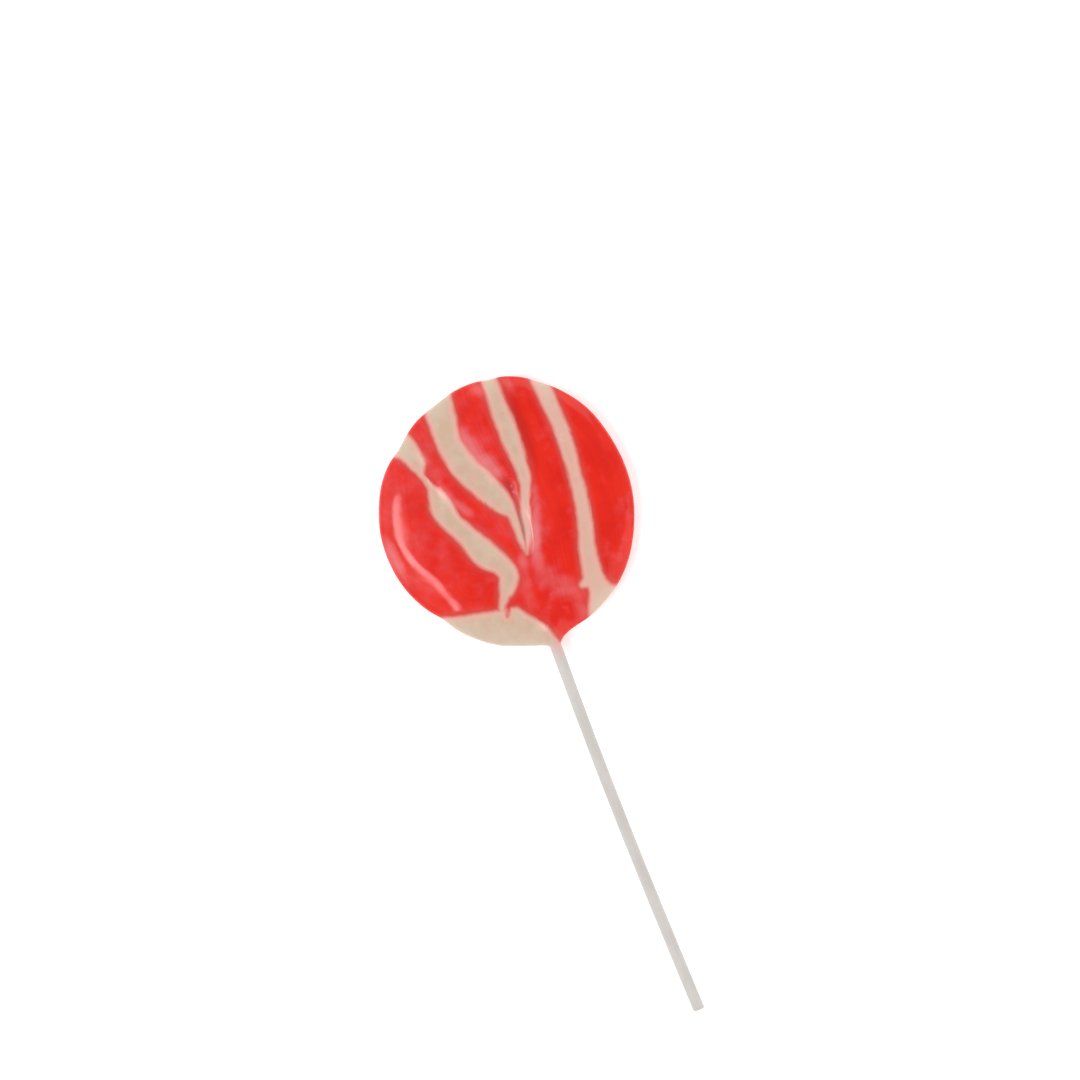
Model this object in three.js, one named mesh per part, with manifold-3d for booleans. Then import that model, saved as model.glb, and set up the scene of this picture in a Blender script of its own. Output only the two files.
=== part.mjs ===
// Swirl lollipop: a pressed disc of folded hard candy on a rolled paper stick.
// Millimetres, +Z up. The disc lies on its flat back with the swirled front up.
// The origin is the middle of the flat back, and the stick runs along -Y.

import * as THREE from 'three';
import { mergeVertices } from 'three/addons/utils/BufferGeometryUtils.js';
import Module from 'manifold-3d';

// ---- Driving dimensions of the disc ----

const DISC_RADIUS = 38.5; // mean radius of the outline
const THICKNESS = 10; // from the flat back to the crown
const RIM_HEIGHT = 4.8; // height of the widest line of the rim above the back
const FLAT_BACK = 0.8; // share of the radius that lies flat
const DOME_FLATNESS = 2.8; // a higher power is flatter in the middle and tighter at the shoulder
const SHOULDER_ROUNDNESS = 2.2;

// The outline is a circle pressed out of true by slow waves. Each wave has its number of
// lobes, its height and the direction of one of its lobes, in degrees from +X.
const OUTLINE_WAVES = [
	{ lobes: 2, height: 0.95, toward: 83 },
	{ lobes: 3, height: 0.6, toward: 51 },
	{ lobes: 4, height: 0.3, toward: 75 },
];

// On top of the waves the outline has local bumps and dents, each with its height, the
// direction of its middle and the angle over which it dies away, in degrees.
const OUTLINE_BUMPS = [
	{ height: 0.2, toward: -156, spread: 14 },
	{ height: -0.55, toward: -143, spread: 5 }, // dent where the pale foot begins
	{ height: 0.95, toward: -118, spread: 16 }, // the foot bulges
	{ height: 0.6, toward: -98, spread: 7 }, // the foot is drawn out towards the stick
	{ height: -0.45, toward: -80, spread: 6 }, // dent on the other side of the stick
	{ height: 0.2, toward: -62, spread: 8 }, // the right seam comes over the rim
	{ height: -0.2, toward: -6, spread: 12 },
	{ height: -0.25, toward: 130, spread: 4 }, // the left seam comes over the rim
	{ height: -0.5, toward: 158, spread: 11 },
];

// ---- Driving dimensions of the stick ----

const STICK_DIAMETER = 3.5;
const STICK_LENGTH = 165;
const STICK_TIP = -157; // the free end's place along Y
const STICK_HEIGHT = 5; // the axis above the flat back
const STICK_BOW = 1.4; // how far the stick bends toward -X between the disc and its tip
const SOCKET_GAP = 0.3; // clearance between the stick and the candy all round
const SOCKET_CUT_END = -55; // the socket is cut to here along Y, well past the rim

// ---- Relief of the front ----

// The seams between the folded strands are sunk. Each is a smooth line through points of
// [x, y, half width of the pale candy in the seam], from the far rim towards the stick.
const SEAMS = {
	left: [[-26.5, 34.5, 5.2], [-21.6, 28, 3.4], [-19.9, 22.4, 2.2], [-19.8, 19.2, 0.9],
		[-18.7, 15, 0.85], [-18, 11.8, 1.9], [-17.6, 7.4, 3.3], [-16.3, 2.6, 2.8],
		[-13.6, -2.7, 3.05], [-10.6, -9.3, 3.8], [-7.5, -13.9, 2.9], [-6.5, -17.6, 2.75],
		[-7.8, -20.4, 2.45], [-11.3, -25, 0.9], [-12.2, -27.5, 0.7]],
	wide: [[-8, 43, 4.8], [-8.1, 36.7, 4.4], [-8.7, 29, 3.8], [-8.9, 24, 3.5],
		[-6.9, 16, 3.9], [-3.5, 9, 3.8], [-0.8, 3.2, 3], [0.9, -1.1, 1.5], [1, -4, 1.25],
		[0.8, -9.1, 1.05], [0.85, -13.4, 0.15]],
	middle: [[9.2, 43, 2.2], [8.6, 38, 2.2], [8.5, 26, 2.7], [8.4, 18, 2.6], [8.4, 10, 1.8],
		[7.5, 5, 1.4], [5.9, 1.4, 1.2], [4.1, -4.3, 1.3], [2.45, -9.9, 0.95],
		[0.95, -13.4, 0.15]],
	right: [[22, 38, 2.1], [22.7, 29, 2.3], [23.2, 16, 2.2], [22.4, 4, 1.9], [20.7, -8, 2.1],
		[17.8, -19, 2.35], [16.6, -26.5, 2.85], [17.1, -30.3, 3], [17.4, -33.3, 4.1],
		[18.3, -37.8, 7]],
	spur: [[15.5, -27.3, 1.6], [13.8, -27.7, 1.3], [12.6, -27.9, 0.7]],
};
const SEAM_DEPTH = 0.5;
const SEAM_FLANK = 1.3; // the trough's half width, in half widths of the seam
const SEAM_FULL_WIDTH = 2; // seams of a smaller half width are shallower

// The pale foot of the disc, beside the stick, is sunk too. It lies below these straight
// edges, each through a point and falling to the right by so many degrees.
const FOOT_EDGES = [
	{ x: -19.5, y: -24.7, fall: 12.7 },
	{ x: -5.3, y: -30.3, fall: 52 },
	{ x: -0.8, y: -37, fall: 76 },
];
const FOOT_DEPTH = 0.4;
const FOOT_SLOPE = { outside: 1.5, inside: 2.5 }; // reach of its slope from the edge

// The crease in the middle, where the last fold was pinched shut over the stick's inner end.
const CREASE = [[2.9, 7.5], [3.1, 2.9], [2.7, -1.5], [2.35, -5.4], [1.9, -8.5], [0.8, -14.2]];
const CREASE_DEPTH = 1.3;
const CREASE_LEFT_FLANK = 1.1;
const CREASE_RIGHT_FLANK = 2.6;
const CREASE_FULLNESS = 0.7; // below 1 the crease keeps its depth further towards its ends
const CREASE_LEAN = 1.3; // above 1 its deepest place lies past the middle, towards the stick
const CREASE_SHARPNESS = 1.5; // above 1 its flanks steepen towards its bottom

// At the crease's inner end a strand dives under its neighbours and leaves a pocket.
const POCKET = { x: 3.3, y: 6.8, radius: 1.4, depth: 0.6 };

// Folds that stand up from the face.
const RIDGES = [
	{ // along the outer left strand
		height: 0.33,
		halfWidth: 3.2,
		crest: [[-28.5, 20.5], [-31.4, 13.5], [-33, 8.5], [-34, 4.5], [-33.4, 0.3],
			[-31.6, -3], [-29.2, -6], [-27, -10.2], [-25.5, -15.2], [-24.4, -21.6],
			[-23.5, -26]],
	},
	{ // a wrinkle beside the foot of the stick
		height: 0.4,
		halfWidth: 1.5,
		crest: [[-0.5, -27.5], [3.6, -30.6], [6.2, -34.5]],
	},
];

// The candy swells over the stick where the stick comes out of the rim, from one place
// along Y to its full rise at another.
const COLLAR = { rise: 1.1, halfWidth: 3.2, fromY: -32, fullY: -37.5 };

// The pressed front is a little uneven: slow swells of {height, length, direction in degrees}.
const SWELLS = [
	{ height: 0.12, length: 31, toward: 25 },
	{ height: 0.1, length: 23, toward: 110 },
	{ height: 0.06, length: 13, toward: 160 },
];

// ---- Fineness of the faceted surfaces ----

const DISC_SEGMENTS = 100;
const FRONT_RINGS = 44;
const RIM_CROWDING = 1.3; // above 1 the rings crowd towards the rim
const CROWN_CROWDING = 1.2; // above 1 they crowd towards the middle, round the crease
const BACK_RINGS = 7;
const STICK_SIDES = 16;
const STICK_STEPS = 24;
const LINE_STEPS = 60;
const MERGE_DISTANCE = 1e-3;

const wasm = await Module();
wasm.setup();

const radians = THREE.MathUtils.degToRad;

// ---- Closed solids ----

function closedSurface(geometry) {
	geometry.deleteAttribute('normal');
	geometry.deleteAttribute('uv');
	return mergeVertices(geometry, MERGE_DISTANCE);
}

function toSolid(geometry) {
	return new wasm.Manifold(new wasm.Mesh({
		numProp: 3,
		vertProperties: new Float32Array(geometry.attributes.position.array),
		triVerts: new Uint32Array(geometry.index.array),
	}));
}

function toGeometry(solid) {
	const { vertProperties, triVerts } = solid.getMesh();
	const geometry = new THREE.BufferGeometry();
	geometry.setAttribute('position', new THREE.BufferAttribute(vertProperties, 3));
	geometry.setIndex(new THREE.BufferAttribute(triVerts, 1));
	geometry.computeVertexNormals();
	return geometry;
}

function moveVertices(geometry, move) {
	const position = geometry.attributes.position;
	const point = new THREE.Vector3();
	for (let i = 0; i < position.count; i++) {
		point.fromBufferAttribute(position, i);
		move(point, i);
		position.setXYZ(i, point.x, point.y, point.z);
	}
}

// ---- The stick ----

// The stick bends sideways in one shallow bow.
function stickOffset(y) {
	return -STICK_BOW * Math.sin(Math.PI * y / STICK_TIP);
}

// The stick's axis, which lies level.
class StickAxis extends THREE.Curve {
	constructor(startY, endY) {
		super();
		this.startY = startY;
		this.endY = endY;
	}

	getPoint(t, target = new THREE.Vector3()) {
		const y = THREE.MathUtils.lerp(this.startY, this.endY, t);
		return target.set(stickOffset(y), y, STICK_HEIGHT);
	}
}

function rod(radius, startY, endY) {
	const section = new THREE.Shape();
	section.absarc(0, 0, radius, 0, 2 * Math.PI, false);
	return closedSurface(new THREE.ExtrudeGeometry(section, {
		steps: STICK_STEPS,
		curveSegments: STICK_SIDES / 2, // a full circle takes two sides for each
		extrudePath: new StickAxis(startY, endY),
	}));
}

const stickRadius = STICK_DIAMETER / 2;
const stickInnerEnd = STICK_TIP + STICK_LENGTH;

function makeStick() {
	const paper = new THREE.MeshStandardMaterial({ color: '#dedad5', roughness: 0.8, metalness: 0 });
	const stick = new THREE.Mesh(rod(stickRadius, stickInnerEnd, STICK_TIP), paper);
	stick.name = 'stick';
	return stick;
}

// ---- The disc of candy ----

// Half section from the middle of the back, round the rim, to the crown.
function discProfile() {
	const points = [new THREE.Vector2(0, 0)];
	const flatRadius = FLAT_BACK * DISC_RADIUS;
	for (let i = 0; i <= BACK_RINGS; i++) {
		const turn = (Math.PI / 2) * (i / BACK_RINGS);
		points.push(new THREE.Vector2(
			flatRadius + (DISC_RADIUS - flatRadius) * Math.sin(turn),
			RIM_HEIGHT * (1 - Math.cos(turn)),
		));
	}
	for (let i = 1; i <= FRONT_RINGS; i++) {
		const share = 1 - (i / FRONT_RINGS);
		const reach = 1 - (1 - share ** CROWN_CROWDING) ** RIM_CROWDING;
		const rise = (1 - reach ** DOME_FLATNESS) ** (1 / SHOULDER_ROUNDNESS);
		points.push(new THREE.Vector2(
			DISC_RADIUS * reach,
			RIM_HEIGHT + (THICKNESS - RIM_HEIGHT) * rise,
		));
	}
	return points;
}

// A rounded hill of height 1, which dies away over the reach.
function hill(distance, reach) {
	return Math.exp(-((distance / reach) ** 2));
}

function outlineRadius(angle) {
	let radius = DISC_RADIUS;
	for (const { lobes, height, toward } of OUTLINE_WAVES) {
		radius += height * Math.cos(lobes * (angle - radians(toward)));
	}
	for (const { height, toward, spread } of OUTLINE_BUMPS) {
		radius += height * hill(angle - radians(toward), radians(spread));
	}
	return radius;
}

// A line through the given points, as samples of {x, y, width, share of the way along}.
function sampledLine(points) {
	const curve = new THREE.CatmullRomCurve3(
		points.map(([x, y, width = 0]) => new THREE.Vector3(x, y, width)),
	);
	return curve.getPoints(LINE_STEPS).map(({ x, y, z }, i) => (
		{ x, y, width: z, along: i / LINE_STEPS }
	));
}

const seamLines = Object.values(SEAMS).map(sampledLine);
const creaseLine = sampledLine(CREASE);
const ridges = RIDGES.map((ridge) => ({ ...ridge, line: sampledLine(ridge.crest) }));

function nearest(line, point) {
	let best = null;
	for (const sample of line) {
		const distance = Math.hypot(point.x - sample.x, point.y - sample.y);
		if (best === null || distance < best.distance) {
			best = { distance, sample };
		}
	}
	return best;
}

// Depth of the foot. A point above any of its straight edges lies outside it.
function footTrough(point) {
	const outside = Math.max(...FOOT_EDGES.map(({ x, y, fall }) => (
		(point.x - x) * Math.sin(radians(fall)) + (point.y - y) * Math.cos(radians(fall))
	)));
	return FOOT_DEPTH * THREE.MathUtils.smoothstep(-outside, -FOOT_SLOPE.outside, FOOT_SLOPE.inside);
}

function seamTrough(point) {
	let depth = footTrough(point);
	for (const line of seamLines) {
		for (const { x, y, width } of line) {
			const full = SEAM_DEPTH * Math.min(1, width / SEAM_FULL_WIDTH);
			const distance = Math.hypot(point.x - x, point.y - y);
			depth = Math.max(depth, full * hill(distance, SEAM_FLANK * width));
		}
	}
	return depth;
}

function creaseGroove(point) {
	const { distance, sample } = nearest(creaseLine, point);
	const flank = point.x < sample.x ? CREASE_LEFT_FLANK : CREASE_RIGHT_FLANK;
	const taper = Math.sin(Math.PI * sample.along ** CREASE_LEAN) ** CREASE_FULLNESS;
	return CREASE_DEPTH * taper * Math.max(0, 1 - distance / flank) ** CREASE_SHARPNESS;
}

function pocket(point) {
	return POCKET.depth * hill(Math.hypot(point.x - POCKET.x, point.y - POCKET.y), POCKET.radius);
}

function ridgeRise(point) {
	let rise = 0;
	for (const { height, halfWidth, line } of ridges) {
		const { distance, sample } = nearest(line, point);
		rise += height * Math.sin(Math.PI * sample.along) * hill(distance, halfWidth);
	}
	return rise;
}

function collar(point) {
	const aside = point.x - stickOffset(point.y);
	const growth = THREE.MathUtils.smoothstep(-point.y, -COLLAR.fromY, -COLLAR.fullY);
	return COLLAR.rise * growth * hill(aside, COLLAR.halfWidth);
}

function swell(point) {
	let rise = 0;
	for (const { height, length, toward } of SWELLS) {
		const along = point.x * Math.cos(radians(toward)) + point.y * Math.sin(radians(toward));
		rise += height * Math.sin(2 * Math.PI * along / length);
	}
	return rise;
}

// How far the front stands proud of the smooth form. It fades out below the rim's widest line.
function relief(point) {
	const fade = THREE.MathUtils.smoothstep(point.z, 0, RIM_HEIGHT);
	const raised = swell(point) + ridgeRise(point) + collar(point);
	const sunk = seamTrough(point) + creaseGroove(point) + pocket(point);
	return fade * (raised - sunk);
}

function pressedDisc() {
	const disc = closedSurface(new THREE.LatheGeometry(discProfile(), DISC_SEGMENTS));
	disc.rotateX(Math.PI / 2);
	moveVertices(disc, (point) => {
		const stretch = outlineRadius(Math.atan2(point.y, point.x)) / DISC_RADIUS;
		point.x *= stretch;
		point.y *= stretch;
	});
	disc.computeVertexNormals();
	const normals = disc.attributes.normal;
	const normal = new THREE.Vector3();
	moveVertices(disc, (point, i) => {
		normal.fromBufferAttribute(normals, i);
		point.addScaledVector(normal, relief(point));
	});
	disc.deleteAttribute('normal');
	return disc;
}

function makeCandy() {
	const socket = rod(stickRadius + SOCKET_GAP, stickInnerEnd + SOCKET_GAP, SOCKET_CUT_END);
	const candy = toSolid(pressedDisc()).subtract(toSolid(socket));
	const sugar = new THREE.MeshStandardMaterial({ color: '#e6241e', roughness: 0.25, metalness: 0 });
	const mesh = new THREE.Mesh(toGeometry(candy), sugar);
	mesh.name = 'candy';
	return mesh;
}

const lollipop = new THREE.Group();
lollipop.add(makeCandy(), makeStick());

export default lollipop;
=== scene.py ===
import math

import bpy
import numpy as np
from mathutils import Matrix, Vector


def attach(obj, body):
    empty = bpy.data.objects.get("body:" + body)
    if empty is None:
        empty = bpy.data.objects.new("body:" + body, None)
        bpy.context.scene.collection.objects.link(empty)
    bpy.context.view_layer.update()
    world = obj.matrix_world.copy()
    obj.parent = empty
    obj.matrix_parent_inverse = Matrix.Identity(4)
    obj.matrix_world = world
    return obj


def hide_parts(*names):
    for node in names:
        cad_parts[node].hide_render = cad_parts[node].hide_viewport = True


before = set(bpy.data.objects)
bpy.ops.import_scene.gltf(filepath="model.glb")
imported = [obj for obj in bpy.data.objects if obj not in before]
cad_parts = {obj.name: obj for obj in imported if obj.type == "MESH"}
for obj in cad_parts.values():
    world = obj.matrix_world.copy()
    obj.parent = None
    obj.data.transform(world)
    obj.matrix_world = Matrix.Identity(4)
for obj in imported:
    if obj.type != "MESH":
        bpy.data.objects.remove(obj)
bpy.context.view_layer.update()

# Swirl lollipop: a pressed disc of folded hard candy on a rolled paper stick, lying on its
# flat back. Blender works in metres. Lengths of the candy are named here in millimetres,
# as in the part's source, and MM turns them into metres.

MM = 0.001

# ---- Form of the disc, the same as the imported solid's ----

DISC_RADIUS = 38.5
THICKNESS = 10.0
RIM_HEIGHT = 4.8
FLAT_BACK = 0.8
DOME_FLATNESS = 2.8
SHOULDER_ROUNDNESS = 2.2
OUTLINE_WAVES = [  # lobes, height, direction of one lobe
    (2, 0.95, 83),
    (3, 0.6, 51),
    (4, 0.3, 75),
]
OUTLINE_BUMPS = [  # height, direction, spread
    (0.2, -156, 14),
    (-0.55, -143, 5),
    (0.95, -118, 16),
    (0.6, -98, 7),
    (-0.45, -80, 6),
    (0.2, -62, 8),
    (-0.2, -6, 12),
    (-0.25, 130, 4),
    (-0.5, 158, 11),
]

STICK_DIAMETER = 3.5
STICK_LENGTH = 165.0
STICK_TIP = -157.0  # y of its free end
STICK_HEIGHT = 5.0  # of its axis
STICK_BOW = 1.4  # how far the axis bows to the left between the disc's middle and the tip

# Pale seams between the red strands: points of x, y and half width.
SEAMS = {
    "left": [(-26.5, 34.5, 5.2), (-21.6, 28, 3.4), (-19.9, 22.4, 2.2), (-19.8, 19.2, 0.9),
             (-18.7, 15, 0.85), (-18, 11.8, 1.9), (-17.6, 7.4, 3.3), (-16.3, 2.6, 2.8),
             (-13.6, -2.7, 3.05), (-10.6, -9.3, 3.8), (-7.5, -13.9, 2.9), (-6.5, -17.6, 2.75),
             (-7.8, -20.4, 2.45), (-11.3, -25, 0.9), (-12.2, -27.5, 0.7)],
    "wide": [(-8, 43, 4.8), (-8.1, 36.7, 4.4), (-8.7, 29, 3.8), (-8.9, 24, 3.5),
             (-6.9, 16, 3.9), (-3.5, 9, 3.8), (-0.8, 3.2, 3), (0.9, -1.1, 1.5), (1, -4, 1.25),
             (0.8, -9.1, 1.05), (0.85, -13.4, 0.15)],
    "middle": [(9.2, 43, 2.2), (8.6, 38, 2.2), (8.5, 26, 2.7), (8.4, 18, 2.6), (8.4, 10, 1.8),
               (7.5, 5, 1.4), (5.9, 1.4, 1.2), (4.1, -4.3, 1.3), (2.45, -9.9, 0.95),
               (0.95, -13.4, 0.15)],
    "right": [(22, 38, 2.1), (22.7, 29, 2.3), (23.2, 16, 2.2), (22.4, 4, 1.9), (20.7, -8, 2.1),
              (17.8, -19, 2.35), (16.6, -26.5, 2.85), (17.1, -30.3, 3), (17.4, -33.3, 4.1),
              (18.3, -37.8, 7)],
    "spur": [(15.5, -27.3, 1.6), (13.8, -27.7, 1.3), (12.6, -27.9, 0.7)],
}
SEAM_DEPTH = 0.5
SEAM_FLANK = 1.3  # the trough's half width, in half widths of the seam
SEAM_FULL_WIDTH = 2.0  # seams of a smaller half width are shallower

# The pale foot of the disc lies below these straight edges: a point of each and the degrees
# that it falls to the right.
FOOT_EDGES = [
    (-19.5, -24.7, 12.7),
    (-5.3, -30.3, 52),
    (-0.8, -37, 76),
]
FOOT_DEPTH = 0.4
FOOT_SLOPE_OUTSIDE = 1.5  # reach of the foot's slope on either side of its edge
FOOT_SLOPE_INSIDE = 2.5

CREASE = [(2.9, 7.5), (3.1, 2.9), (2.7, -1.5), (2.35, -5.4), (1.9, -8.5), (0.8, -14.2)]
CREASE_DEPTH = 1.3
CREASE_LEFT_FLANK = 1.1
CREASE_RIGHT_FLANK = 2.6
CREASE_FULLNESS = 0.7  # below 1 the crease keeps its depth further towards its ends
CREASE_LEAN = 1.3  # above 1 its deepest place lies past the middle, towards the stick
CREASE_SHARPNESS = 1.5  # above 1 its flanks steepen towards its bottom

# Folds that stand up from the face: height, half width and the crest's points.
OUTER_FOLD = [(-28.5, 20.5), (-31.4, 13.5), (-33, 8.5), (-34, 4.5), (-33.4, 0.3),
              (-31.6, -3), (-29.2, -6), (-27, -10.2), (-25.5, -15.2), (-24.4, -21.6),
              (-23.5, -26)]
RIDGES = [
    (0.33, 3.2, OUTER_FOLD),
    (0.4, 1.5, [(-0.5, -27.5), (3.6, -30.6), (6.2, -34.5)]),
]

POCKET = (3.3, 6.8)  # where the strand beside the crease dives under its neighbours
POCKET_RADIUS = 1.4
POCKET_DEPTH = 0.6

SWELLS = [  # height, length, direction
    (0.12, 31, 25),
    (0.1, 23, 110),
    (0.06, 13, 160),
]

# The candy swells over the stick where it comes out of the rim.
COLLAR_RISE = 1.1
COLLAR_HALF_WIDTH = 3.2
COLLAR_FROM = -32.0
COLLAR_FULL = -37.5

# ---- Colour fields on the candy ----

# Milky veils where red sugar is drawn thin over pale sugar, and painted sheen and highlights where the
# red catches the light: at the top rim, along the left strand, right of the crease and on the left
# rim. Points of x, y, half width and strength.
VEILS_AND_SHEENS = [
    [(-5, 31, 1.6, 0), (-4.2, 24, 2.6, 0.6), (-2.3, 17.8, 3, 0.62), (0.4, 12.4, 2.9, 0.6),
     (1.3, 10.2, 1.8, 0.35), (1.8, 8.6, 1, 0)],
    [(1, 40, 2.5, 0.2), (4.9, 36.2, 2.4, 0.33), (6, 31.5, 1.6, 0)],
    [(12.5, 38, 1.6, 0.2), (13.6, 33.8, 2.2, 0.28), (14, 29.5, 1.6, 0)],
    [(10.4, 9, 1.2, 0), (9.4, 2.5, 1.7, 0.35), (7.3, -3.5, 1.9, 0.45), (5.2, -9, 1.8, 0.75),
     (3.6, -13.5, 2, 0.5), (3.5, -22, 4, 0.32), (9, -27.5, 4.2, 0.28), (11, -31, 3.5, 0.34),
     (10, -34, 3, 0.34), (9.5, -38, 2.5, 0.25)],
    [(-15, 33, 3, 0.15), (-15, 25, 2.5, 0.25), (-16, 18, 2, 0.2), (-14.8, 10.5, 2, 0.4),
     (-11.2, 4.5, 1.8, 0.35), (-8, 0, 1, 0)],
    [(0.8, -12, 1.5, 0.2), (-1, -14.5, 2.2, 0.42), (-1.9, -18.5, 2.2, 0.28),
     (-3, -22.5, 2.4, 0.3), (-3.2, -27.5, 2.8, 0.3)],
    [(-36.5, 9, 1.5, 0), (-36.3, 3, 2, 0.35), (-35.5, -4, 2, 0.42), (-35, -9, 1.4, 0.1)],
]

# Hollows where the red looks darker, in the same form.
SHADES = [
    [(12.3, 33, 1.5, 0.1), (12.5, 28, 1.7, 0.55), (12.8, 20, 1.8, 0.6), (12.6, 12, 1.5, 0.4),
     (11.5, 6, 1, 0)],
    [(2.1, 9.8, 1, 0), (2.8, 7.8, 1.2, 0.6), (3.1, 6.2, 1.1, 0.75), (3.4, 3.5, 0.8, 0.4),
     (3.4, 1.5, 0.6, 0.1)],
]

# A tongue of red that runs into the pale foot beside the left seam: x, y and half width.
NOTCH = [(-8.2, -24.3, 0.8), (-9.4, -26, 0.9), (-10.5, -27.6, 0.6), (-11.2, -28.8, 0.2)]

# Lines that the fine streaks run along: the seams, drawn on past their ends, and one line
# outside the disc on either side.
THROAT = [(0.8, -20), (0.6, -30), (0, -44)]
STREAK_GUIDES = [
    [(-33, 46), (-30, 32), (-39, 12), (-41, -6), (-34, -28), (-22, -48)],
    SEAMS["left"] + [(-13, -31), (-14, -44)],
    SEAMS["wide"] + THROAT,
    SEAMS["middle"] + THROAT,
    SEAMS["right"],
    [(30, 46), (30, 30), (40, 10), (39, -10), (30, -32), (18, -48)],
]
GUIDE_SOFTNESS = 0.7  # wider than the gap between two samples of a line
BACK_TURN = 14.0  # degrees that the stripes turn between the rim and the flat back
BACK_SHIFT = (3.0, 2.0)

# ---- Fineness of the modelled surfaces ----

DISC_SEGMENTS = 380
STICK_CROWDING = 3.0  # how much closer the segments lie beside the stick
STICK_CROWDING_SPREAD = 9.0  # degrees
FRONT_RINGS = 150
RING_CROWDING = 1.35  # above 1 the rings lie closer towards the rim
EDGE_RINGS = 30
BACK_RINGS = 24
LINE_SAMPLES = 140
SUM_STEPS = 40  # steps to a segment where the crowding is summed
SHARP_ANGLE = 60.0  # degrees; steeper edges than this aren't smoothed over

STICK_SIDES = 48
STICK_STEPS = 150
ROUNDING_STEPS = 4


# ---- Lines and distances ----

def smooth_line(points):
    """A centripetal Catmull-Rom line through the points, as an array of samples."""
    knots = np.array(points, dtype=float)
    knots = np.vstack([2 * knots[0] - knots[1], knots, 2 * knots[-1] - knots[-2]])
    gaps = np.sqrt(np.linalg.norm(np.diff(knots[:, :2], axis=0), axis=1))
    places = np.linspace(0, len(points) - 1, LINE_SAMPLES)
    line = []
    for place in places:
        i = min(int(place), len(points) - 2)
        p0, p1, p2, p3 = knots[i:i + 4]
        d0, d1, d2 = gaps[i:i + 3]
        start = ((p1 - p0) / d0 - (p2 - p0) / (d0 + d1) + (p2 - p1) / d1) * d1
        end = ((p2 - p1) / d1 - (p3 - p1) / (d1 + d2) + (p3 - p2) / d2) * d1
        t = place - i
        line.append(
            (2 * t**3 - 3 * t**2 + 1) * p1
            + (t**3 - 2 * t**2 + t) * start
            + (3 * t**2 - 2 * t**3) * p2
            + (t**3 - t**2) * end
        )
    return np.array(line)


def distances(xy, line):
    """Distance from every point to every sample of the line."""
    return np.hypot(xy[:, :1] - line[:, 0], xy[:, 1:2] - line[:, 1])


def smoothstep(value, low, high):
    t = np.clip((value - low) / (high - low), 0, 1)
    return t * t * (3 - 2 * t)


def stick_offset(y):
    """Sideways place of the stick's axis."""
    return -STICK_BOW * np.sin(math.pi * y / STICK_TIP)


seam_lines = [smooth_line(points) for points in SEAMS.values()]
crease_line = smooth_line(CREASE)


# ---- Relief and colour fields, in millimetres over the disc ----

def foot_distance(xy):
    """Signed distance to the pale foot, negative inside."""
    away = np.full(len(xy), -np.inf)
    for x, y, fall in FOOT_EDGES:
        turn = math.radians(fall)
        above = (xy[:, 0] - x) * math.sin(turn) + (xy[:, 1] - y) * math.cos(turn)
        away = np.maximum(away, above)
    return away


def seam_distance(xy):
    """Signed distance to the nearest pale candy, negative inside it."""
    nearest = foot_distance(xy)
    for line in seam_lines:
        nearest = np.minimum(nearest, (distances(xy, line) - line[:, 2]).min(axis=1))
    notch = smooth_line(NOTCH)
    inside_notch = (notch[:, 2] - distances(xy, notch)).max(axis=1)
    return np.maximum(nearest, inside_notch)


def strand_number(xy):
    """Grows by one from guide to guide across the disc and stays even along the strands."""
    total = np.zeros(len(xy))
    weights = np.zeros(len(xy))
    for number, guide in enumerate(STREAK_GUIDES):
        line = smooth_line([point[:2] for point in guide])
        weight = 1 / (distances(xy, line).min(axis=1) ** 2 + GUIDE_SOFTNESS ** 2)
        total += number * weight
        weights += weight
    return total / weights


def seam_trough(xy):
    depth = FOOT_DEPTH * smoothstep(-foot_distance(xy), -FOOT_SLOPE_OUTSIDE, FOOT_SLOPE_INSIDE)
    for line in seam_lines:
        width = line[:, 2]
        full = SEAM_DEPTH * np.minimum(1, width / SEAM_FULL_WIDTH)
        near = full * np.exp(-(distances(xy, line) / (SEAM_FLANK * width)) ** 2)
        depth = np.maximum(depth, near.max(axis=1))
    return depth


def along_line(xy, line):
    """Distance to the line, the index of the nearest sample and the share of the way along."""
    away = distances(xy, line)
    nearest = away.argmin(axis=1)
    return away.min(axis=1), nearest, nearest / (len(line) - 1)


def crease_groove(xy):
    away, nearest, share = along_line(xy, crease_line)
    left = xy[:, 0] < crease_line[nearest, 0]
    flank = np.where(left, CREASE_LEFT_FLANK, CREASE_RIGHT_FLANK)
    deep = np.sin(math.pi * share ** CREASE_LEAN) ** CREASE_FULLNESS
    return CREASE_DEPTH * deep * np.maximum(0, 1 - away / flank) ** CREASE_SHARPNESS


def ridges(xy):
    rise = np.zeros(len(xy))
    for height, half_width, crest in RIDGES:
        away, _, share = along_line(xy, smooth_line(crest))
        rise += height * np.sin(math.pi * share) * np.exp(-(away / half_width) ** 2)
    return rise


def swell(xy):
    rise = np.zeros(len(xy))
    for height, length, direction in SWELLS:
        turn = math.radians(direction)
        along = xy[:, 0] * math.cos(turn) + xy[:, 1] * math.sin(turn)
        rise += height * np.sin(2 * math.pi * along / length)
    return rise


def pocket(xy):
    away = np.hypot(xy[:, 0] - POCKET[0], xy[:, 1] - POCKET[1])
    return POCKET_DEPTH * np.exp(-(away / POCKET_RADIUS) ** 2)


def collar(xy):
    aside = xy[:, 0] - stick_offset(xy[:, 1])
    rise = np.exp(-(aside / COLLAR_HALF_WIDTH) ** 2)
    return COLLAR_RISE * rise * smoothstep(-xy[:, 1], -COLLAR_FROM, -COLLAR_FULL)


def dome_height(reach):
    rise = (1 - reach ** DOME_FLATNESS) ** (1 / SHOULDER_ROUNDNESS)
    return RIM_HEIGHT + (THICKNESS - RIM_HEIGHT) * rise


def frontness(points):
    """1 on the front, fading to 0 at the flat back."""
    return smoothstep(points[:, 2], 0, RIM_HEIGHT)


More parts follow.
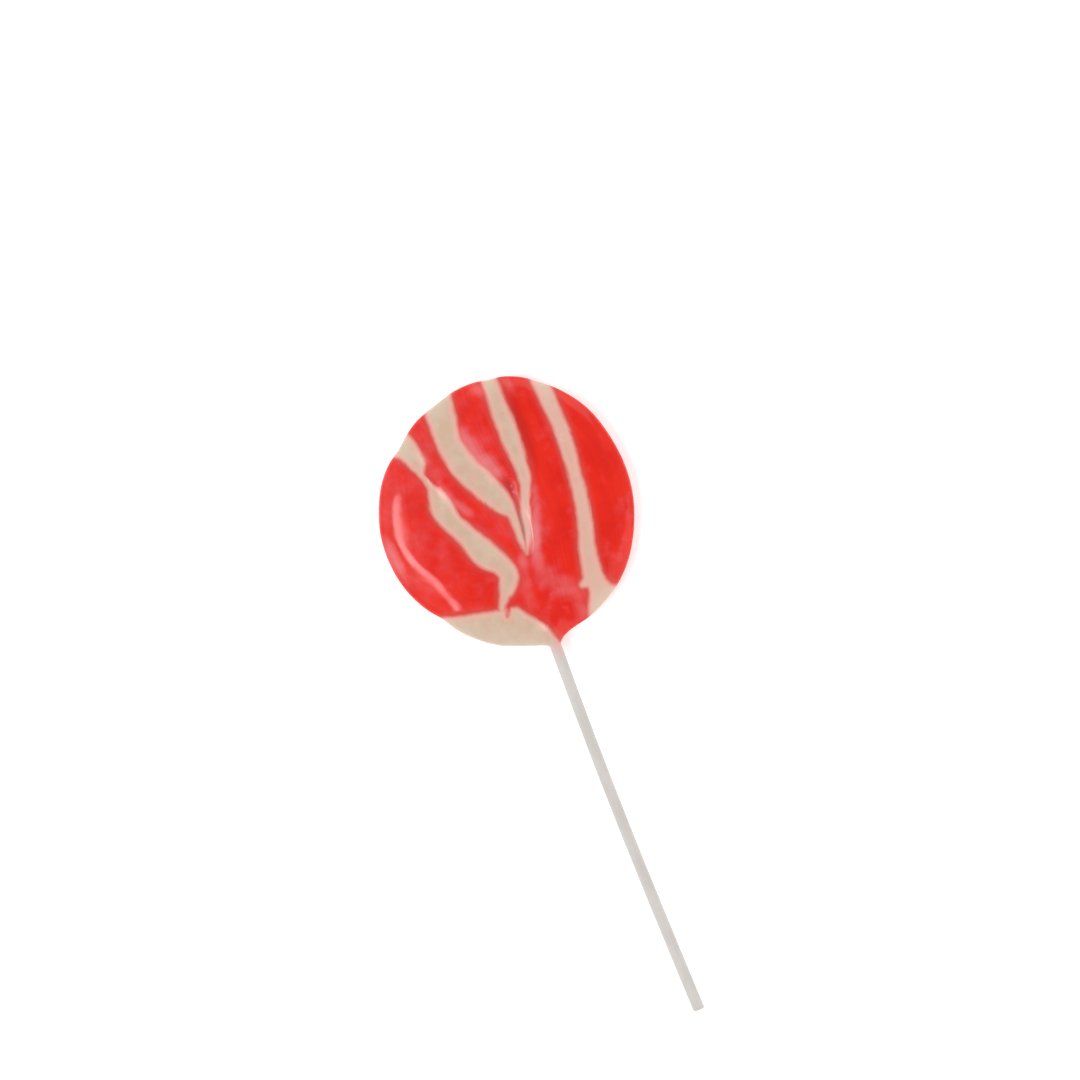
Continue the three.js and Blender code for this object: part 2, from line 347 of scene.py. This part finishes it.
def relief(points):
    xy = points[:, :2]
    raised = swell(xy) + ridges(xy) + collar(xy)
    sunk = seam_trough(xy) + crease_groove(xy) + pocket(xy)
    return frontness(points) * (raised - sunk)


def soft_bands(xy, bands):
    """The strongest of the bands at each point. Each is a line with half widths and strengths."""
    strongest = np.zeros(len(xy))
    for points in bands:
        line = smooth_line(points)
        near = line[:, 3] * np.exp(-(distances(xy, line) / line[:, 2]) ** 2)
        strongest = np.maximum(strongest, near.max(axis=1))
    return strongest


def pattern_place(points):
    """Where each surface point reads the stripes: below the rim they turn and shift."""
    sunk = smoothstep(RIM_HEIGHT - points[:, 2], 0, RIM_HEIGHT)
    turn = np.radians(BACK_TURN) * sunk
    x = points[:, 0] * np.cos(turn) - points[:, 1] * np.sin(turn) + BACK_SHIFT[0] * sunk
    y = points[:, 0] * np.sin(turn) + points[:, 1] * np.cos(turn) + BACK_SHIFT[1] * sunk
    return np.column_stack([x, y])


# ---- Meshes ----

def mesh_object(name, vertices, faces, material):
    mesh = bpy.data.meshes.new(name)
    mesh.from_pydata(vertices, [], faces)
    mesh.validate()
    mesh.materials.append(material)
    piece = bpy.data.objects.new(name, mesh)
    bpy.context.collection.objects.link(piece)
    return piece


def positions(mesh):
    flat = np.empty(3 * len(mesh.vertices))
    mesh.vertices.foreach_get("co", flat)
    return flat.reshape(-1, 3)


def set_positions(mesh, points):
    mesh.vertices.foreach_set("co", points.ravel())
    mesh.update()


def normals(mesh):
    flat = np.empty(3 * len(mesh.vertices))
    mesh.vertex_normals.foreach_get("vector", flat)
    return flat.reshape(-1, 3)


def set_field(mesh, name, values):
    field = mesh.attributes.new(name, "FLOAT", "POINT")
    field.data.foreach_set("value", values.astype(np.float32))


def ring_surface(rings, first_pole, last_pole):
    """Vertices and faces of a closed surface of rings between two poles."""
    count = len(rings[0])
    vertices = [first_pole]
    for ring in rings:
        vertices.extend(ring)
    vertices.append(last_pole)
    last = len(vertices) - 1
    after = [(k + 1) % count for k in range(count)]
    faces = [(0, 1 + k, 1 + after[k]) for k in range(count)]
    for row in range(len(rings) - 1):
        here = 1 + row * count
        below = here + count
        faces += [(here + k, below + k, below + after[k], here + after[k]) for k in range(count)]
    bottom = 1 + (len(rings) - 1) * count
    faces += [(bottom + k, last, bottom + after[k]) for k in range(count)]
    return vertices, faces


# ---- The candy ----

def disc_directions():
    """Directions round the disc, closer together beside the stick."""
    fine = np.linspace(-math.pi, math.pi, SUM_STEPS * DISC_SEGMENTS)
    spread = math.radians(STICK_CROWDING_SPREAD)
    density = 1 + STICK_CROWDING * np.exp(-((fine + math.pi / 2) / spread) ** 2)
    share = np.cumsum(density)
    share = (share - share[0]) / (share[-1] - share[0])
    return np.interp(np.arange(DISC_SEGMENTS) / DISC_SEGMENTS, share, fine)


def disc_profile():
    """Share of the outline's radius and height, from beside the crown to beside the back's middle."""
    profile = []
    for i in range(1, FRONT_RINGS + 1):
        reach = 1 - (1 - i / FRONT_RINGS) ** RING_CROWDING
        profile.append((reach, dome_height(reach)))
    for i in range(1, EDGE_RINGS + 1):
        turn = math.pi / 2 * (1 - i / EDGE_RINGS)
        profile.append((
            FLAT_BACK + (1 - FLAT_BACK) * math.sin(turn),
            RIM_HEIGHT * (1 - math.cos(turn)),
        ))
    for i in range(1, BACK_RINGS):
        profile.append((FLAT_BACK * (1 - i / BACK_RINGS), 0.0))
    return profile


def outline_radius(angle):
    radius = np.full_like(angle, DISC_RADIUS)
    for lobes, height, toward in OUTLINE_WAVES:
        radius += height * np.cos(lobes * (angle - math.radians(toward)))
    for height, toward, spread in OUTLINE_BUMPS:
        radius += height * np.exp(-((angle - math.radians(toward)) / math.radians(spread)) ** 2)
    return radius


FILLET_LENGTH = 0.9  # how far the candy is drawn out along the stick
FILLET_REACH = 0.8  # how far from the stick's surface the drawing out fades
SOCKET_END = 7.6  # y at which the socket ends
SOCKET_MOUTH = -55.0  # y at which its cutter ends, clear of the rim
SOCKET_SQUEEZE = 0.12  # how much smaller the socket's radius is than the stick's
SOCKET_STEPS = 40
SOCKET_SIDES = 40


def draw_fillet(points):
    """Draws the candy out along the stick where it enters."""
    away = np.hypot(points[:, 0] - stick_offset(points[:, 1]), points[:, 2] - STICK_HEIGHT)
    grip = np.exp(-np.maximum(0, away - STICK_DIAMETER / 2) / FILLET_REACH)
    points[:, 1] -= FILLET_LENGTH * grip * (points[:, 1] < COLLAR_FROM)
    return points


def socket_cutter(material):
    """A plain closed tube along the stick's axis."""
    radius = STICK_DIAMETER / 2 - SOCKET_SQUEEZE
    rings = []
    for y in np.linspace(SOCKET_END, SOCKET_MOUTH, SOCKET_STEPS):
        middle = stick_offset(y)
        rings.append([
            (MM * (middle + radius * math.cos(turn)), MM * y,
             MM * (STICK_HEIGHT - radius * math.sin(turn)))
            for turn in np.linspace(0, 2 * math.pi, SOCKET_SIDES, endpoint=False)
        ])
    caps = [(MM * stick_offset(y), MM * y, MM * STICK_HEIGHT) for y in (SOCKET_END, SOCKET_MOUTH)]
    return mesh_object("socket_cutter", *ring_surface(rings, *caps), material)


def cut_socket(candy):
    tube = socket_cutter(candy.data.materials[0])
    cut = candy.modifiers.new("socket", "BOOLEAN")
    cut.operation = "DIFFERENCE"
    cut.solver = "MANIFOLD"
    cut.object = tube
    bpy.context.view_layer.objects.active = candy
    bpy.ops.object.modifier_apply(modifier=cut.name)
    bpy.data.objects.remove(tube)


def make_candy(material):
    angles = disc_directions()
    radius = outline_radius(angles)
    rings = []
    for reach, height in disc_profile():
        rings.append([
            (reach * r * math.cos(a), reach * r * math.sin(a), height)
            for r, a in zip(radius, angles)
        ])
    vertices, faces = ring_surface(rings, (0, 0, THICKNESS), (0, 0, 0))
    candy = mesh_object("candy_disc", vertices, faces, material)
    mesh = candy.data
    points = positions(mesh)
    points = points + normals(mesh) * relief(points)[:, None]
    set_positions(mesh, draw_fillet(points) * MM)
    cut_socket(candy)
    points = positions(mesh) / MM
    place = pattern_place(points)
    set_field(mesh, "seam", seam_distance(place))
    set_field(mesh, "strand", strand_number(place))
    set_field(mesh, "veil_and_sheen", soft_bands(place, VEILS_AND_SHEENS))
    set_field(mesh, "shade", frontness(points) * soft_bands(place, SHADES))
    groove = crease_groove(points[:, :2]) + pocket(points[:, :2])
    set_field(mesh, "groove", frontness(points) * groove / CREASE_DEPTH)
    mesh.shade_smooth()
    mesh.set_sharp_from_angle(angle=math.radians(SHARP_ANGLE))
    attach(candy, "root")
    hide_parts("candy")


# ---- The stick ----

PAPER_EDGE_STEP = 0.07  # thickness of the paper's outer edge
PAPER_EDGE_DIRECTION = 35.0  # degrees from +X round the stick's section
PAPER_EDGE_WIDTH = 1e-3  # share of a turn that the edge takes
END_ROUNDING = 0.15
END_PROFILE = [  # depth from the tip and radius, from the rounding in to the hollow core
    (0, 1.2),
    (0.02, 0.8),
    (0, 0.5),
    (0.05, 0.35),
    (0.6, 0.28),
]


def stick_section(radius):
    """Rolled section: the radius grows by one paper's thickness in a turn, then steps back."""
    ring = []
    for k in range(STICK_SIDES):
        share = k / (STICK_SIDES - 1)
        turn = math.radians(PAPER_EDGE_DIRECTION) + 2 * math.pi * share * (1 - PAPER_EDGE_WIDTH)
        r = radius - PAPER_EDGE_STEP * (1 - share) * min(1, radius / (STICK_DIAMETER / 2))
        ring.append((r * math.cos(turn), -r * math.sin(turn)))
    return ring


def stick_stations():
    """Places along the stick and the radius there, from its end in the candy to its tip."""
    radius = STICK_DIAMETER / 2
    inner = STICK_TIP + STICK_LENGTH
    stations = [(inner - STICK_LENGTH * i / STICK_STEPS, radius) for i in range(STICK_STEPS)]
    for i in range(ROUNDING_STEPS + 1):
        turn = math.pi / 2 * i / ROUNDING_STEPS
        stations.append((
            STICK_TIP + END_ROUNDING * (1 - math.sin(turn)),
            radius - END_ROUNDING * (1 - math.cos(turn)),
        ))
    stations += [(STICK_TIP + depth, r) for depth, r in END_PROFILE]
    return stations


def make_stick(material):
    stations = stick_stations()
    rings = []
    for y, radius in stations:
        middle = stick_offset(y)
        rings.append([(middle + x, y, STICK_HEIGHT + z) for x, z in stick_section(radius)])
    ends = [(stick_offset(y), y, STICK_HEIGHT) for y, _ in (stations[0], stations[-1])]
    vertices, faces = ring_surface(rings, *ends)
    vertices = [tuple(MM * c for c in v) for v in vertices]
    stick = mesh_object("paper_stick", vertices, faces, material)
    stick.data.shade_smooth()
    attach(stick, "root")
    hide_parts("stick")


# ---- Materials ----

def srgb(red, green, blue):
    """Linear colour of an 8-bit screen colour."""
    linear = []
    for channel in (red, green, blue):
        c = channel / 255
        linear.append(c / 12.92 if c <= 0.04045 else ((c + 0.055) / 1.055) ** 2.4)
    return (*linear, 1.0)


class Nodes:
    """Short calls for building one material's node tree."""

    def __init__(self, name):
        self.material = bpy.data.materials.new(name)
        self.material.use_nodes = True
        self.tree = self.material.node_tree
        self.shader = self.tree.nodes["Principled BSDF"]

    def plug(self, source, socket):
        if isinstance(source, bpy.types.NodeSocket):
            self.tree.links.new(source, socket)
        else:
            socket.default_value = source

    def add(self, kind, **settings):
        node = self.tree.nodes.new(kind)
        for key, value in settings.items():
            setattr(node, key, value)
        return node

    def attribute(self, name):
        return self.add("ShaderNodeAttribute", attribute_name=name).outputs["Fac"]

    def place(self):
        """The piece's own coordinates, in millimetres."""
        coordinates = self.add("ShaderNodeTexCoord").outputs["Object"]
        scale = self.add("ShaderNodeVectorMath", operation="SCALE")
        self.plug(coordinates, scale.inputs[0])
        scale.inputs["Scale"].default_value = 1 / MM
        return scale.outputs[0]

    def math(self, operation, a, b=0.0):
        node = self.add("ShaderNodeMath", operation=operation)
        self.plug(a, node.inputs[0])
        self.plug(b, node.inputs[1])
        return node.outputs[0]

    def noise(self, where, length, detail=2.0, roughness=0.5):
        """Noise from 0 to 1 whose features are about length long."""
        node = self.add("ShaderNodeTexNoise")
        self.plug(where, node.inputs["Vector"])
        node.inputs["Scale"].default_value = 1 / length
        node.inputs["Detail"].default_value = detail
        node.inputs["Roughness"].default_value = roughness
        return node.outputs["Fac"]

    def ramp(self, value, low, high, to_low=0.0, to_high=1.0):
        node = self.add("ShaderNodeMapRange", interpolation_type="SMOOTHSTEP")
        self.plug(value, node.inputs["Value"])
        for socket, number in zip(node.inputs[1:5], (low, high, to_low, to_high)):
            self.plug(number, socket)
        return node.outputs["Result"]

    def blend(self, factor, first, second):
        node = self.add("ShaderNodeMix", data_type="RGBA")
        colour = {s.name: s for s in node.inputs if s.type == "RGBA"}
        self.plug(factor, node.inputs["Factor"])
        self.plug(first, colour["A"])
        self.plug(second, colour["B"])
        return next(s for s in node.outputs if s.type == "RGBA")

    def separate(self, vector):
        node = self.add("ShaderNodeSeparateXYZ")
        self.plug(vector, node.inputs[0])
        return node.outputs

    def streaks(self, strand, where, count, length):
        """Noise drawn out along the strands: count streaks between two seams, length mm long."""
        place = self.separate(where)
        node = self.add("ShaderNodeCombineXYZ")
        self.plug(self.math("MULTIPLY", strand, count), node.inputs[0])
        self.plug(self.math("MULTIPLY", place[1], 1 / length), node.inputs[1])
        self.plug(self.math("MULTIPLY", place[2], 1 / length), node.inputs[2])
        return self.noise(node.outputs[0], 1, 2)

    def stretch(self, where, scale):
        node = self.add("ShaderNodeVectorMath", operation="MULTIPLY")
        self.plug(where, node.inputs[0])
        node.inputs[1].default_value = scale
        return node.outputs[0]

    def bump(self, height, distance, strength=1.0, normal=None):
        node = self.add("ShaderNodeBump")
        node.inputs["Strength"].default_value = strength
        node.inputs["Distance"].default_value = distance
        self.plug(height, node.inputs["Height"])
        if normal is not None:
            self.plug(normal, node.inputs["Normal"])
        return node.outputs["Normal"]


RED = srgb(241, 39, 17)
DEEP_RED = srgb(231, 29, 11)
PINK_RED = srgb(238, 80, 84)
SHADED_RED = srgb(190, 24, 18)
BLED_RED = srgb(208, 86, 80)
MILKY_AND_SHEEN = srgb(236, 124, 128)
PALE_PINK = srgb(240, 178, 166)
CREAM = srgb(216, 191, 169)
WARM_CREAM = srgb(212, 180, 156)
PINK_CREAM = srgb(236, 180, 166)
RIM_REFLECTION_CREAM = srgb(220, 207, 188)
CREASE_SHADE = srgb(164, 116, 96)
RIM_REFLECTION_FROM = 8.6  # height below which the pale sugar is painted paler and cooler, a painted reflection on the rim
MIDDLE_SEAM = 3.0  # strand number of the seam right of the crease
PINKER_FROM = -20.0  # y at which the pink left of that seam comes in
PINKER_FULL = -2.0
STREAKS = (22, 16)  # count between two seams and length
FINE_STREAKS = (110, 6)

BLOTCHES = 5.0  # the lengths of this and the next five noises
FINE_BLOTCHES = 1.4
RED_CLOUDS = 9.0
CREAM_CLOUDS = 4.0
CREAM_SPOTS = 2.2
GLOSS_CLOUDS = 7.0
STREAK_DEPTH = 0.01
DIMPLES = (1.6, 0.04)  # length and depth
GRAIN = (0.35, 0.006)


def candy_material():
    n = Nodes("hard_candy")
    where = n.place()
    seam = n.attribute("seam")
    strand = n.attribute("strand")
    groove = n.attribute("groove")
    streaks = n.streaks(strand, where, *STREAKS)
    blotches = n.noise(where, BLOTCHES, 3)

    # Where red meets cream the border wanders and feathers along the streaks, and both tint
    # each other.
    wobble = n.math("SUBTRACT", blotches, 0.5)
    fine_wobble = n.math("SUBTRACT", n.noise(where, FINE_BLOTCHES, 2), 0.5)
    feather = n.math("SUBTRACT", n.streaks(strand, where, *FINE_STREAKS), 0.5)
    edge = n.math("ADD", seam, n.math("MULTIPLY", wobble, 1.1))
    edge = n.math("ADD", edge, n.math("MULTIPLY", fine_wobble, 0.2))
    edge = n.math("ADD", edge, n.math("MULTIPLY", feather, 0.7))
    pale = n.ramp(edge, -0.8, 0.8, 1, 0)

    red = red_sugar(n, where, strand, streaks, blotches, edge)
    cream = pale_sugar(n, where, strand, streaks, groove, edge)
    colour = n.blend(pale, red, cream)
    colour = n.blend(n.ramp(groove, 0.45, 0.85, 0, 0.7), colour, CREASE_SHADE)
    n.plug(colour, n.shader.inputs["Base Color"])

    # The cream is duller than the red, and the crease's flanks duller still.
    dullness = n.ramp(n.noise(where, GLOSS_CLOUDS, 4), 0.3, 0.7, 0.1, 0.16)
    dullness = n.math("ADD", dullness, n.math("MULTIPLY", pale, 0.12))
    dullness = n.math("ADD", dullness, n.ramp(groove, 0, 0.04, 0, 0.2))
    n.plug(dullness, n.shader.inputs["Roughness"])
    n.shader.inputs["IOR"].default_value = 1.5
    n.shader.inputs["Specular IOR Level"].default_value = 0.4
    n.shader.inputs["Subsurface Weight"].default_value = 0.3
    n.shader.inputs["Subsurface Radius"].default_value = (1.0, 0.35, 0.25)
    n.shader.inputs["Subsurface Scale"].default_value = 1.2 * MM

    # The streaks stand out of the red alone. Dimples and a fine grain cover red and cream.
    in_red = n.math("MULTIPLY", feather, n.ramp(seam, -0.8, 0.5))
    normal = n.bump(in_red, STREAK_DEPTH * MM, 0.4)
    for (length, depth), detail in ((DIMPLES, 3), (GRAIN, 2)):
        normal = n.bump(n.noise(where, length, detail), depth * MM, 0.5, normal)
    n.plug(normal, n.shader.inputs["Normal"])
    return n.material


def red_sugar(n, where, strand, streaks, blotches, edge):
    """Mottled red, pinker beside the cream and, away from the stick, left of the middle seam."""
    along = n.separate(where)[1]
    red = n.blend(n.ramp(n.noise(where, RED_CLOUDS, 3), 0.35, 0.65), RED, DEEP_RED)
    red = n.blend(n.ramp(blotches, 0.52, 0.75, 0, 0.45), red, PINK_RED)
    pinker = n.ramp(strand, MIDDLE_SEAM + 0.3, MIDDLE_SEAM - 0.4, 0, 0.35)
    pinker = n.math("MULTIPLY", pinker, n.ramp(along, PINKER_FROM, PINKER_FULL, 0.2, 1))
    red = n.blend(n.math("MULTIPLY", pinker, n.ramp(blotches, 0.35, 0.6, 0.2, 1)), red, PINK_RED)
    red = n.blend(n.ramp(streaks, 0.3, 0.75, 0, 0.2), red, SHADED_RED)
    # Milky veils and painted sheen: the red turns milky pink where veils and painted highlights lie.
    milk_and_sheen = n.math("MULTIPLY", n.attribute("veil_and_sheen"), n.ramp(streaks, 0.3, 0.7, 1.05, 0.9))
    milk_and_sheen = n.math("ADD", milk_and_sheen, n.math("MULTIPLY", n.math("SUBTRACT", blotches, 0.5), 0.35))
    red = n.blend(n.ramp(milk_and_sheen, 0.05, 0.7), red, MILKY_AND_SHEEN)
    red = n.blend(n.ramp(milk_and_sheen, 0.6, 1), red, PALE_PINK)
    bleeding = n.math("MULTIPLY", n.ramp(edge, 0.1, 2.4, 0.6, 0), n.ramp(milk_and_sheen, 0.1, 0.4, 1, 0.2))
    red = n.blend(bleeding, red, BLED_RED)
    return n.blend(n.attribute("shade"), red, SHADED_RED)


def pale_sugar(n, where, strand, streaks, groove, edge):
    """Cream, warmer in clouds and streaks, blushing towards the red and on the right."""
    height = n.separate(where)[2]
    cream = n.blend(n.ramp(n.noise(where, CREAM_CLOUDS, 3), 0.35, 0.65), CREAM, WARM_CREAM)
    cream = n.blend(n.ramp(streaks, 0.35, 0.8, 0, 0.3), cream, WARM_CREAM)
    right = n.ramp(strand, MIDDLE_SEAM - 0.2, MIDDLE_SEAM + 0.8, 0, 0.5)
    cream = n.blend(right, cream, PINK_CREAM)
    cream = n.blend(n.ramp(n.noise(where, CREAM_SPOTS, 3), 0.5, 0.7, 0, 0.3), cream, PINK_CREAM)
    cream = n.blend(n.ramp(groove, 0, 0.3, 0, 0.6), cream, PINK_CREAM)
    # Painted reflection: the cream turns paler and cooler towards the rim.
    cream = n.blend(n.ramp(height, RIM_REFLECTION_FROM, RIM_HEIGHT, 0, 0.6), cream, RIM_REFLECTION_CREAM)
    return n.blend(n.ramp(edge, -2.2, -0.4, 0, 0.85), cream, PINK_CREAM)


PAPER = srgb(212, 207, 202)
PAPER_SHADE = srgb(206, 200, 195)
PAPER_EDGE = srgb(176, 168, 160)
PAPER_LAYER = 0.16  # thickness of one turn of the rolled paper, at the stick's end
LAYERS_REACH = 0.1  # how far from the tip the turns show
FIBRES = (0.3, 0.12)  # width across the stick and its share of the length along it
PAPER_CLOUDS = (3.0, 0.3)
STAIN_AND_REFLECTION_PINK = srgb(232, 180, 172)
STAIN_AND_REFLECTION_FROM = -47.0
STAIN_AND_REFLECTION_FULL = -40.0


def paper_material():
    n = Nodes("stick_paper")
    where = n.place()
    aside, along, height = n.separate(where)
    width, share = FIBRES
    fibres = n.noise(n.stretch(where, (1, share, 1)), width, 4, 0.6)
    width, share = PAPER_CLOUDS
    clouds = n.noise(n.stretch(where, (1, share, 1)), width, 2)
    colour = n.blend(n.ramp(clouds, 0.35, 0.65), PAPER, PAPER_SHADE)
    colour = n.blend(n.ramp(fibres, 0.5, 0.75, 0, 0.5), colour, PAPER_SHADE)

    # Sugar has soaked into the paper beside the candy. The pink there is also a painted reflection of
    # the candy, which lightens the paper's shade.
    stain_and_reflection = n.math("MULTIPLY", n.ramp(along, STAIN_AND_REFLECTION_FROM, STAIN_AND_REFLECTION_FULL), n.ramp(clouds, 0.3, 0.6, 0.4, 1))
    colour = n.blend(stain_and_reflection, colour, STAIN_AND_REFLECTION_PINK)

    # The tip shows the turns of the rolled paper.
    above = n.math("SUBTRACT", height, STICK_HEIGHT)
    radius = n.math("SQRT", n.math("ADD", n.math("POWER", aside, 2), n.math("POWER", above, 2)))
    turns = n.math("SINE", n.math("MULTIPLY", radius, 2 * math.pi / PAPER_LAYER))
    at_tip = n.ramp(along, STICK_TIP + LAYERS_REACH, STICK_TIP)
    colour = n.blend(n.math("MULTIPLY", n.ramp(turns, 0, 1, 0, 0.6), at_tip), colour, PAPER_EDGE)
    n.plug(colour, n.shader.inputs["Base Color"])
    n.shader.inputs["Roughness"].default_value = 0.7
    n.shader.inputs["Specular IOR Level"].default_value = 0.25
    n.plug(n.bump(fibres, 0.03 * MM, 0.4), n.shader.inputs["Normal"])
    return n.material


FLOOR_GLOW = 0.35  # a light table's glow, which thins the shadows


def floor_material():
    n = Nodes("floor")
    n.shader.inputs["Base Color"].default_value = (0.98, 0.98, 0.98, 1)
    n.shader.inputs["Roughness"].default_value = 0.9
    n.shader.inputs["Specular IOR Level"].default_value = 0.0
    n.shader.inputs["Emission Color"].default_value = (1, 1, 1, 1)
    n.shader.inputs["Emission Strength"].default_value = FLOOR_GLOW
    return n.material


# ---- Studio ----

PHOTO_SIDE = 1080  # pixels
PHOTO_SCALE = 0.2946 * MM  # metres of the lollipop's plane to a pixel
DISC_MIDDLE_PIXEL = (507.95, 511.67)  # the origin's place in the photograph
STICK_LEAN = 21.0  # degrees that the stick leans to the right in the photograph
LENS = 85.0
SENSOR = 36.0
FLOOR_SIDE = 6.0  # metres
FLOOR_DROP = 0.1 * MM

# Flat lights aimed at the disc: place in metres to the right, up and high in the photograph's
# directions, length and width in metres, radiance, the way the length runs, and shape.
LIGHTS = {
    "strip": ((-0.5, -0.212, 1.0), 0.67, 0.32, 6.0, (0.41, -0.91), "ELLIPSE"),
    "left_box": ((-0.95, -0.3, 0.8), 1.0, 1.2, 0.45, (1, 0), "RECTANGLE"),
    "top_box": ((0.3, 1.1, 0.7), 1.4, 0.9, 1.0, (1, 0), "RECTANGLE"),
    "right_box": ((1.0, -0.5, 0.6), 1.2, 1.2, 0.8, (1, 0), "RECTANGLE"),
}


def photo_vector(right, up):
    """A step in the photograph, in metres to the right and up, as a vector of the frame."""
    lean = math.radians(STICK_LEAN)
    return Vector((
        right * math.cos(lean) + up * math.sin(lean),
        -right * math.sin(lean) + up * math.cos(lean),
        0,
    ))


def make_camera():
    data = bpy.data.cameras.new("camera")
    data.lens = LENS
    data.sensor_width = SENSOR
    camera = bpy.data.objects.new("camera", data)
    bpy.context.collection.objects.link(camera)
    middle = PHOTO_SIDE / 2
    aim = photo_vector(
        (middle - DISC_MIDDLE_PIXEL[0]) * PHOTO_SCALE,
        -(middle - DISC_MIDDLE_PIXEL[1]) * PHOTO_SCALE,
    )
    height = PHOTO_SIDE * PHOTO_SCALE * LENS / SENSOR
    camera.location = aim + Vector((0, 0, height + STICK_HEIGHT * MM))
    camera.rotation_euler = (0, 0, -math.radians(STICK_LEAN))
    bpy.context.scene.camera = camera


def area_light(name, spot, length, width, radiance, run, shape):
    data = bpy.data.lights.new(name, "AREA")
    data.shape = shape
    data.size = length
    data.size_y = width
    data.energy = radiance * math.pi * length * width
    lamp = bpy.data.objects.new(name, data)
    bpy.context.collection.objects.link(lamp)
    place = photo_vector(*spot[:2]) + Vector((0, 0, spot[2]))
    back = place.normalized()
    side = photo_vector(*run)
    side = (side - side.dot(back) * back).normalized()
    turn = Matrix((side, back.cross(side), back)).transposed()
    lamp.matrix_world = Matrix.Translation(place) @ turn.to_4x4()


SKY_OVERHEAD = 0.35
SKY_AT_HORIZON = 0.85


def make_sky():
    """White light from all round, weaker from overhead, where the camera hangs."""
    world = bpy.data.worlds.new("world")
    world.use_nodes = True
    nodes = world.node_tree.nodes
    links = world.node_tree.links
    direction = nodes.new("ShaderNodeTexCoord").outputs["Generated"]
    split = nodes.new("ShaderNodeSeparateXYZ")
    links.new(direction, split.inputs[0])
    fall = nodes.new("ShaderNodeMapRange")
    links.new(split.outputs[2], fall.inputs["Value"])
    fall.inputs["To Min"].default_value = SKY_AT_HORIZON
    fall.inputs["To Max"].default_value = SKY_OVERHEAD
    background = nodes["Background"]
    background.inputs["Color"].default_value = (1, 1, 1, 1)
    links.new(fall.outputs["Result"], background.inputs["Strength"])
    bpy.context.scene.world = world


def make_studio():
    floor = mesh_object(
        "floor",
        [(x * FLOOR_SIDE / 2, y * FLOOR_SIDE / 2, -FLOOR_DROP)
         for x, y in ((-1, -1), (1, -1), (1, 1), (-1, 1))],
        [(0, 1, 2, 3)],
        floor_material(),
    )
    for name, light in LIGHTS.items():
        area_light(name, *light)
    make_sky()
    bpy.context.scene.view_settings.view_transform = "Standard"


make_camera()
make_candy(candy_material())
make_stick(paper_material())
make_studio()
